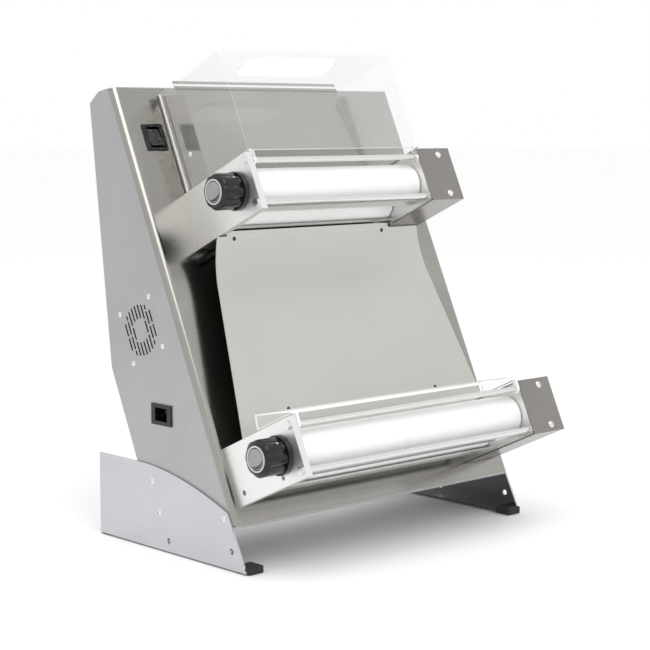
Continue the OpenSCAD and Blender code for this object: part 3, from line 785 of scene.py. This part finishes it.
@dataclass
class Fasteners:
    """Domed screws with a hexagon socket, in the places of the CAD screws."""

    groups: tuple[str, ...] = ("panel_screws", "arm_screws")
    dark_in: str = "panel_screws"
    dark_near: str = "chute"
    socket: float = 0.42
    depth: float = 0.75
    steps: int = 24
    arc: int = 5
    rim: float = 0.98
    seat_gap: float = 0.3 * MM

    def screw(
        self, head: float, rise: float, shank: float, length: float
    ) -> bmesh.types.BMesh:
        """Make one screw along X, with its head's seat at the origin.

        Args:
            head: Radius of the head.
            rise: Height of the head.
            shank: Radius of the shank.
            length: Length of the shank.

        Returns:
            The screw.
        """
        hole = head * self.socket
        floor = rise * (1.0 - self.depth)
        ball = (head**2 + rise**2) / (2 * rise)
        start, end = math.asin(hole / ball), math.asin(min(1.0, head / ball))
        angles = [start + (end - start) * i / self.arc for i in range(self.arc + 1)]
        dome = [(ball * math.cos(a) - ball + rise, ball * math.sin(a)) for a in angles]
        top = [(floor, 0.0), (floor, hole), *dome]
        form = turned([*top, (0.0, shank), (-length, shank), (-length, 0.0)], self.steps)
        # The round hole becomes a hexagon socket
        sixth = math.pi / 3
        for vert in form.verts:
            if abs(math.hypot(vert.co.y, vert.co.z) - hole) < WELD:
                turn = math.atan2(vert.co.z, vert.co.y) % sixth - sixth / 2
                scale = math.cos(sixth / 2) / math.cos(turn)
                vert.co.y *= scale
                vert.co.z *= scale
        return form

    @staticmethod
    def islands(source: bmesh.types.BMesh) -> list[list[bmesh.types.BMVert]]:
        """Find the separate solids of a mesh.

        Args:
            source: The mesh.

        Returns:
            The vertices of each solid.
        """
        left, found = set(source.verts), []
        for seed in source.verts:
            if seed not in left:
                continue
            left.remove(seed)
            stack, group = [seed], []
            while stack:
                vert = stack.pop()
                group.append(vert)
                for edge in vert.link_edges:
                    other = edge.other_vert(vert)
                    if other in left:
                        left.remove(other)
                        stack.append(other)
            found.append(group)
        return found

    def fitted(self, group: list[bmesh.types.BMVert]) -> bmesh.types.BMesh:
        """Make the screw that fills the place of one CAD screw.

        Args:
            group: The vertices of the CAD screw.

        Returns:
            The screw in its place.
        """
        # The seat and the end of the shank face inwards, and no other side is as large
        areas: dict[tuple[float, ...], float] = {}
        for face in {face for vert in group for face in vert.link_faces}:
            key = tuple(round(value, 2) for value in face.normal)
            areas[key] = areas.get(key, 0.0) + face.calc_area()
        outward = -Vector(max(areas, key=areas.get)).normalized()
        ends = [vert.co.dot(outward) for vert in group]
        middle = sum((vert.co for vert in group), Vector()) / len(group)
        middle -= outward * middle.dot(outward)
        reach = [
            (vert.co - outward * end - middle).length for vert, end in zip(group, ends)
        ]
        head = max(reach)
        seat = min(end for end, far in zip(ends, reach) if far > head * self.rim)
        shank = max(far for end, far in zip(ends, reach) if end < seat - self.seat_gap)
        form = self.screw(head, max(ends) - seat, shank, seat - min(ends))
        return moved(form, middle + outward * seat, outward)

    def build(self, shop: Workshop) -> None:
        """Replace each group of CAD screws, with the chute's own screws dark.

        Args:
            shop: The workshop.
        """
        for name in self.groups:
            source = bmesh.new()
            source.from_mesh(shop.nodes[name].data)
            bmesh.ops.remove_doubles(source, verts=source.verts, dist=WELD)
            screws = [self.fitted(group) for group in self.islands(source)]
            source.free()
            piece = into_object(merged(screws), f"{name}_socketed")
            shop.stand_for(piece, name, (Finishes.bright_steel, Finishes.dark_steel))
            if name == self.dark_in:
                self.darken(piece)

    def darken(self, piece: bpy.types.Object) -> None:
        """Give the screws in the chute's box the second finish.

        Args:
            piece: The screws.
        """
        low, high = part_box(self.dark_near)
        for face in piece.data.polygons:
            spot = face.center
            face.material_index = int(
                low.x < spot.x < high.x and spot.y < high.y and low.z < spot.z < high.z
            )


@dataclass
class Electrics:
    """Fan, power inlet and power switch."""

    fan: tuple[str, ...] = ("fan_frame", "fan_rotor")
    moulded: tuple[str, ...] = ("power_inlet", "switch_bezel")
    rocker: str = "switch_rocker"
    edge: float = 0.7 * MM

    def build(self, shop: Workshop) -> None:
        """Dress the fan and make the inlet and the switch with broken edges.

        Args:
            shop: The workshop.
        """
        shop.dress(self.fan)
        for node in self.moulded:
            shop.soften(node, self.edge)
        shop.soften(self.rocker, self.edge, finishes=(Finishes.gloss_black,))


@dataclass
class Drive:
    """Motor, gearbox, belt and the fixed small parts of the heads."""

    fixed: tuple[str, ...] = (
        "motor",
        "gearbox",
        "drive_belt",
        "tie_rods",
        "scrapers",
        "bushes",
    )

    def build(self, shop: Workshop) -> None:
        """Dress the fixed parts."""
        shop.dress(self.fixed)


@dataclass
class Knob:
    """Lobed knob with a skirt, an index dot and a ringed cap. Sizes in millimetres."""

    side: str
    length: float = 40.0
    skirt: float = 26.0
    skirt_height: float = 6.5
    skirt_edge: float = 1.2
    skirt_steps: int = 96
    waist: float = 22.3
    lobe: float = 2.2
    lobes: int = 8
    lobe_power: float = 0.7
    nose: float = 18.8
    nose_height: float = 5.0
    cap: float = 17.0
    cap_lift: float = 0.4
    cap_steps: int = 72
    points: int = 160
    mark_radius: float = 12.4
    mark_width: float = 3.4
    mark_from: float = 180.0
    mark_sweep: float = 125.0
    mark_steps: int = 24
    mark_lift: float = 0.75
    mark_height: float = 0.6
    dot: float = 2.0
    dot_at: tuple[float, float, float] = (23.0, -14.0, 18.7)
    sharp: float = 40.0

    def loops(self) -> tuple[tuple[float, float, float], ...]:
        """List the grip's loops from the cap's recess round the nose to the skirt.

        Returns:
            For each loop its distance along X, its radius and its share of the lobes.
        """
        bottom = self.length - self.skirt_height
        return (
            (1.6, self.cap - 0.4, 0.0),
            (1.6, self.cap, 0.0),
            (0.25, self.cap + 0.25, 0.0),
            (0.0, self.cap + 0.6, 0.0),
            (0.0, self.nose - 0.5, 0.0),
            (0.4, self.nose + 0.2, 0.1),
            (self.nose_height * 0.4, self.nose + 2.3, 0.45),
            (self.nose_height * 0.8, self.waist - 0.1, 0.85),
            (self.nose_height + 1.6, self.waist, 1.0),
            (bottom - 2.0, self.waist, 1.0),
            (bottom, self.waist - 0.6, 0.3),
        )

    def shape(
        self, ring: Iterable[bmesh.types.BMVert], along: float, radius: float, share: float
    ) -> None:
        """Give a loop of vertices its place along X and its lobes.

        Args:
            ring: The vertices.
            along: Distance along X.
            radius: Radius between the lobes.
            share: Share of the lobes' full height.
        """
        for vert in ring:
            turn = math.atan2(vert.co.z, vert.co.y)
            wave = abs(math.cos(self.lobes * turn / 2)) ** self.lobe_power
            reach = (radius + self.lobe * share * wave) * MM
            vert.co = (along * MM, reach * math.cos(turn), reach * math.sin(turn))

    def grip(self) -> bmesh.types.BMesh:
        """Make the lobed grip along X, with its nose at the origin.

        Returns:
            The grip.
        """
        form = bmesh.new()
        ring = bmesh.ops.create_circle(form, segments=self.points, radius=1.0)["verts"]
        upright = Matrix.Rotation(math.pi / 2, 3, "Y")
        bmesh.ops.rotate(form, verts=ring, cent=(0, 0, 0), matrix=upright)
        first, *others = self.loops()
        self.shape(ring, *first)
        ends = [ring]
        edges = list(form.edges)
        for loop in others:
            made = bmesh.ops.extrude_edge_only(form, edges=edges)["geom"]
            edges = [item for item in made if isinstance(item, bmesh.types.BMEdge)]
            ring = list({vert for edge in edges for vert in edge.verts})
            self.shape(ring, *loop)
        for end in (*ends, ring):
            bmesh.ops.contextual_create(form, geom=end)
        bmesh.ops.recalc_face_normals(form, faces=form.faces)
        return form

    def flange(self) -> bmesh.types.BMesh:
        """Make the skirt along X, in its place behind the grip.

        Returns:
            The skirt.
        """
        height = self.skirt_height * MM
        outline = rounded(height, self.skirt * MM, self.skirt_edge * MM)
        form = turned([(0.0, 0.0), *outline, (height, 0.0)], self.skirt_steps)
        return moved(form, X_AXIS * (self.length - self.skirt_height) * MM)

    def disc(self) -> bmesh.types.BMesh:
        """Make the slightly dished disc in the middle of the cap.

        Returns:
            The disc.
        """
        outline = outline_mm(
            (-0.1, 0.0), (-0.25, 7.0), (-0.5, 12.6), (-0.3, 13.4), (1.5, 13.6), (1.5, 0.0)
        )
        return turned(outline, self.cap_steps)

    def hoop(self) -> bmesh.types.BMesh:
        """Make the raised ring round the disc.

        Returns:
            The ring.
        """
        outline = outline_mm(
            (1.5, 14.7), (-0.3, 14.8), (-0.6, 15.2), (-0.6, 16.5), (-0.3, 17.0), (1.5, 17.1)
        )
        return turned(outline, self.cap_steps, True)

    def mark(self) -> bmesh.types.BMesh:
        """Make the dark crescent on the lower front of the disc.

        Returns:
            The crescent.
        """
        form = bmesh.new()
        shares = [i / self.mark_steps for i in range(self.mark_steps + 1)]
        outer, inner = [], []
        for share in shares:
            turn = math.radians(self.mark_from + self.mark_sweep * share)
            depth = self.mark_radius - self.mark_width * math.sin(math.pi * share)
            for radius, line in ((self.mark_radius, outer), (depth, inner)):
                line.append((radius * math.cos(turn), radius * math.sin(turn)))
        # The two arcs meet at the tips
        points = outer + inner[-2:0:-1]
        rim = [form.verts.new((-self.mark_lift * MM, y * MM, z * MM)) for y, z in points]
        edges = [form.edges.new(pair) for pair in zip(rim, rim[1:] + rim[:1])]
        face = bmesh.ops.contextual_create(form, geom=edges)["faces"]
        made = bmesh.ops.extrude_face_region(form, geom=face)["geom"]
        back = [item for item in made if isinstance(item, bmesh.types.BMVert)]
        bmesh.ops.translate(form, verts=back, vec=X_AXIS * self.mark_height * MM)
        bmesh.ops.recalc_face_normals(form, faces=form.faces)
        return form

    def index(self) -> bmesh.types.BMesh:
        """Make the dot on the grip that shows the setting.

        Returns:
            The dot.
        """
        form = bmesh.new()
        bmesh.ops.create_uvsphere(form, u_segments=20, v_segments=10, radius=self.dot * MM)
        return moved(form, Vector(self.dot_at) * MM)

    def build(self, shop: Workshop) -> None:
        """Replace the knob and its cap, and set the index dot.

        Args:
            shop: The workshop.
        """
        knob, cap = f"{self.side}_knob", f"{self.side}_knob_cap"
        face = start_of(cap) + X_AXIS * self.cap_lift * MM
        body = moved(merged((self.grip(), self.flange())), face)
        shop.stand_for(into_object(body, f"{knob}_lobed"), knob, smooth=self.sharp)
        for make, finish in (
            (self.disc, Finishes.grey_plastic),
            (self.hoop, Finishes.pale_plastic),
            (self.mark, Finishes.gloss_black),
        ):
            part = into_object(moved(make(), face), f"{cap}_{make.__name__}")
            shop.stand_for(part, cap, (finish,))
        piece = into_object(moved(self.index(), face), f"{knob}_index")
        shop.stand_for(piece, knob, (Finishes.pale_plastic,), hide=False)


@dataclass
class Guard:
    """Clear guard with painted highlights along its edges and bends."""

    side: str
    sheet: float = 3.4 * MM
    fold: float = 40.0 * MM
    fold_angle: float = math.radians(60.0)
    # Width of the bands along the bends that carry the painted highlight
    flame: float = 2.2 * MM

    def build(self, shop: Workshop) -> None:
        """Replace the guard by a copy with painted highlights along its edges and bends.

        Args:
            shop: The workshop.
        """
        node = f"{self.side}_guard"
        piece = shop.copy(node, f"{node}_sheets")
        shop.stand_for(piece, node, (Finishes.clear_guard, Finishes.guard_painted_highlight))
        form = bmesh.new()
        form.from_mesh(piece.data)
        ridges = [
            edge
            for edge in form.edges
            if len(edge.link_faces) == 2
            and edge.calc_length() > self.fold
            and edge.calc_face_angle_signed() > self.fold_angle
        ]
        # Bands bevelled along the bends carry the painted highlight
        bmesh.ops.bevel(
            form,
            geom=ridges,
            offset=self.flame,
            offset_type="OFFSET",
            segments=2,
            profile=0.5,
            affect="EDGES",
            clamp_overlap=True,
            material=-1,
        )
        form.to_mesh(piece.data)
        form.free()
        # Thin faces, the sheet's edges and the bevelled bands, get the painted highlight
        # finish
        for face in piece.data.polygons:
            loop = [piece.data.vertices[i].co for i in face.vertices]
            girth = sum((a - b).length for a, b in zip(loop, loop[1:] + loop[:1]))
            if 2 * face.area / girth < self.sheet:
                face.material_index = 1


@dataclass
class RollerHead:
    """One roller head: cheeks, arm, rollers, gears, knob and guard."""

    side: str
    roller_edge: float = 2.5 * MM
    bore: float = 8.0 * MM
    roller_steps: int = 128
    edge: float = 0.5 * MM
    plain: tuple[str, ...] = (
        "bearing_plate",
        "bearing_slides",
        "front_shaft",
        "front_gear",
        "rear_shaft",
        "rear_gear",
        "idler_gear",
        "drive_shaft",
        "drive_gear",
        "pulley",
    )
    edged: tuple[str, ...] = ("left_cheek", "inner_cheek", "arm_cover")

    def roller(self, shop: Workshop, node: str) -> None:
        """Replace a roller by a tube with rounded ends.

        Args:
            shop: The workshop.
            node: The CAD node.
        """
        low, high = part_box(node)
        length, radius = high.x - low.x, (high.z - low.z) / 2
        tube = rounded(length, radius, self.roller_edge)
        form = turned(
            [(0.0, self.bore), *tube, (length, self.bore)], self.roller_steps, True
        )
        piece = into_object(moved(form, start_of(node)), f"{node}_turned")
        shop.stand_for(piece, node)

    def build(self, shop: Workshop) -> None:
        """Dress the head and make its visible parts.

        Args:
            shop: The workshop.
        """
        shop.dress(f"{self.side}_{member}" for member in self.plain)
        for member in self.edged:
            shop.soften(f"{self.side}_{member}", self.edge)
        for place in ("front", "rear"):
            self.roller(shop, f"{self.side}_{place}_roller")
        Knob(self.side).build(shop)
        Guard(self.side).build(shop)


@dataclass
class Studio:
    """Floor, lights and camera."""

    camera_at: tuple[float, float, float] = (-1.6529, -1.7693, 0.5793)
    heading: float = 42.858
    dip: float = 6.714
    lens: float = 95.5
    sensor: float = 36.0
    floor_tone: tuple[float, float, float] = (0.98, 0.98, 0.98)
    floor_size: float = 30.0
    floor_drop: float = 0.5 * MM
    sky_tone: tuple[float, float, float] = (1.0, 1.0, 1.0)
    lamp_at: tuple[float, float, float] = (-1.2, -1.4, 3.0)
    lamp_aim: tuple[float, float, float] = (0.0, 0.0, 0.3)
    lamp_size: float = 2.4
    lamp_watts: float = 40.0

    def floor(self) -> None:
        """Lay a wide pale floor."""
        form = bmesh.new()
        bmesh.ops.create_grid(form, x_segments=1, y_segments=1, size=self.floor_size)
        bmesh.ops.translate(form, verts=form.verts, vec=(0.0, 0.0, -self.floor_drop))
        floor = into_object(form, "floor")
        graph = Graph("pale_floor")
        graph.constants(
            Base_Color=(*self.floor_tone, 1.0), Roughness=0.7, Specular_IOR_Level=0.2
        )
        floor.data.materials.append(graph.material)

    def sky(self) -> None:
        """Give even white light from all round."""
        world = bpy.data.worlds.new("studio")
        world.use_nodes = True
        light = world.node_tree.nodes["Background"].inputs
        light["Color"].default_value = (*self.sky_tone, 1.0)
        light["Strength"].default_value = 1.0
        bpy.context.scene.world = world

    def lamp(self) -> None:
        """Hang a soft square lamp that faces the machine."""
        light = bpy.data.lights.new("key", "AREA")
        light.size = self.lamp_size
        light.energy = self.lamp_watts
        lamp = bpy.data.objects.new("key", light)
        bpy.context.scene.collection.objects.link(lamp)
        lamp.location = self.lamp_at
        aim = Vector(self.lamp_aim) - Vector(self.lamp_at)
        lamp.rotation_euler = aim.to_track_quat("-Z", "Y").to_euler()

    def camera(self) -> None:
        """Set the camera."""
        data = bpy.data.cameras.new("camera")
        data.lens = self.lens
        data.sensor_width = self.sensor
        camera = bpy.data.objects.new("camera", data)
        bpy.context.scene.collection.objects.link(camera)
        camera.location = self.camera_at
        pitch, turn = math.radians(90.0 - self.dip), -math.radians(self.heading)
        camera.rotation_euler = (pitch, 0.0, turn)
        bpy.context.scene.camera = camera

    def build(self) -> None:
        """Set up the studio."""
        bpy.context.scene.view_settings.view_transform = "Standard"
        self.floor()
        self.sky()
        self.lamp()
        self.camera()


def main() -> None:
    """Load the frame and build every sub-assembly."""
    logging.basicConfig(level=logging.INFO, format="%(name)s: %(message)s")
    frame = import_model()
    shop = Workshop(frame)
    Studio().build()
    for assembly in (Casing(), Stands(), Fasteners(), Electrics(), Drive()):
        assembly.build(shop)
    for side in HEADS:
        RollerHead(side).build(shop)


if __name__ == "__main__":
    main()
